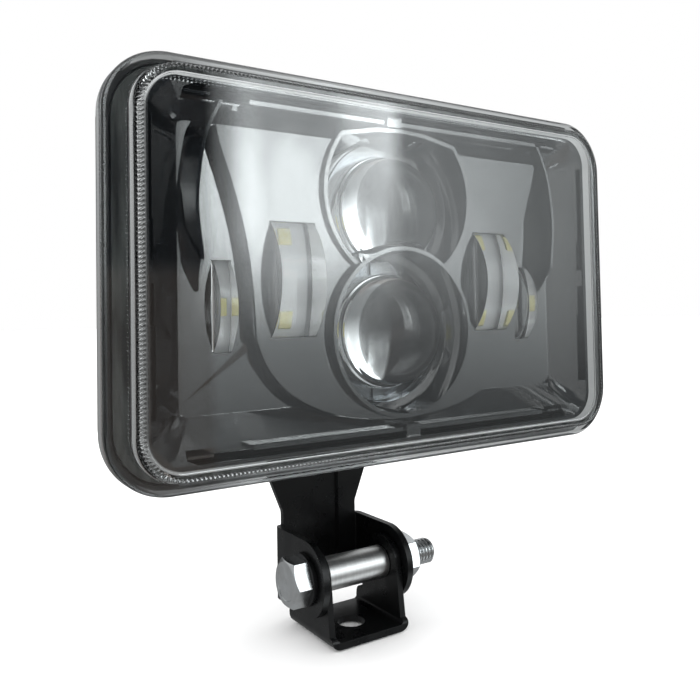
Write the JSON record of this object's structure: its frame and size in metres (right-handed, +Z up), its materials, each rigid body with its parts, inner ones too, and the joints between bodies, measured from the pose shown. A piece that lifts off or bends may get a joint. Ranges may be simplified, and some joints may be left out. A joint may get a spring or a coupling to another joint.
{
  "type": "fog light",
  "caption": "Rectangular lamp with clear cover, black bezel, stacked projector lenses and side optics, on a tilting steel arm held by a bolted U foot.",
  "frame": {"origin": "axis of the foot's fixing hole, on the underside of the foot", "axes": "+Z up from the mounting surface, -Y the way the lamp shines, +X along the lamp's width and the pivot bolt"},
  "size_m": [0.165, 0.0633, 0.1578],
  "materials": {
    "clear_cover": "clear polycarbonate, polished",
    "clear_optic": "clear moulded optic, polished",
    "black_gloss": "high gloss black",
    "black_rubber": "matt",
    "black_cast": "black powder coated casting",
    "black_steel": "satin black coated sheet steel",
    "bright_steel": "turned bright steel",
    "zinc": "bright zinc plated steel",
    "chrome": "vacuum metallised",
    "aluminium": "bare milled",
    "white_board": "white solder mask",
    "green_board": "green solder mask",
    "phosphor": "yellow phosphor"
  },
  "bodies": {
    "foot": {"foot_bracket": "black_steel", "spacer_tube": "bright_steel", "pivot_bolt": "zinc", "head_washer": "black_steel", "pivot_nut": "zinc"},
    "lamp_head": {"front_lens": "clear_cover", "lens_gasket": "black_rubber", "bezel": "black_gloss", "upper_projector_lens": "clear_optic", "lower_projector_lens": "clear_optic", "upper_reflector": "chrome", "lower_reflector": "chrome", "upper_led_board": "white_board", "lower_led_board": "white_board", "upper_led": "phosphor", "lower_led": "phosphor", "heat_plate": "aluminium", "driver_board": "green_board", "housing": "black_cast", "cable_gland": "black_rubber", "vent_plug": "black_rubber", "arm_bracket": "black_steel", "left_inner_optic": "clear_optic", "left_outer_optic": "clear_optic", "left_led_board": "white_board", "left_top_led": "phosphor", "left_bottom_led": "phosphor", "left_outer_led": "phosphor", "right_inner_optic": "clear_optic", "right_outer_optic": "clear_optic", "right_led_board": "white_board", "right_top_led": "phosphor", "right_bottom_led": "phosphor", "right_outer_led": "phosphor", "arm_washer_1": "zinc", "arm_screw_1": "zinc", "arm_washer_2": "zinc", "arm_screw_2": "zinc", "arm_washer_3": "zinc", "arm_screw_3": "zinc", "arm_washer_4": "zinc", "arm_screw_4": "zinc"}
  },
  "joints": [
    {"name": "tilt", "type": "hinge", "parent": "foot", "child": "lamp_head", "pos_m": [0, 0, 0.018], "axis": [1, 0, 0], "range_deg": [-12, 60]}
  ]
}
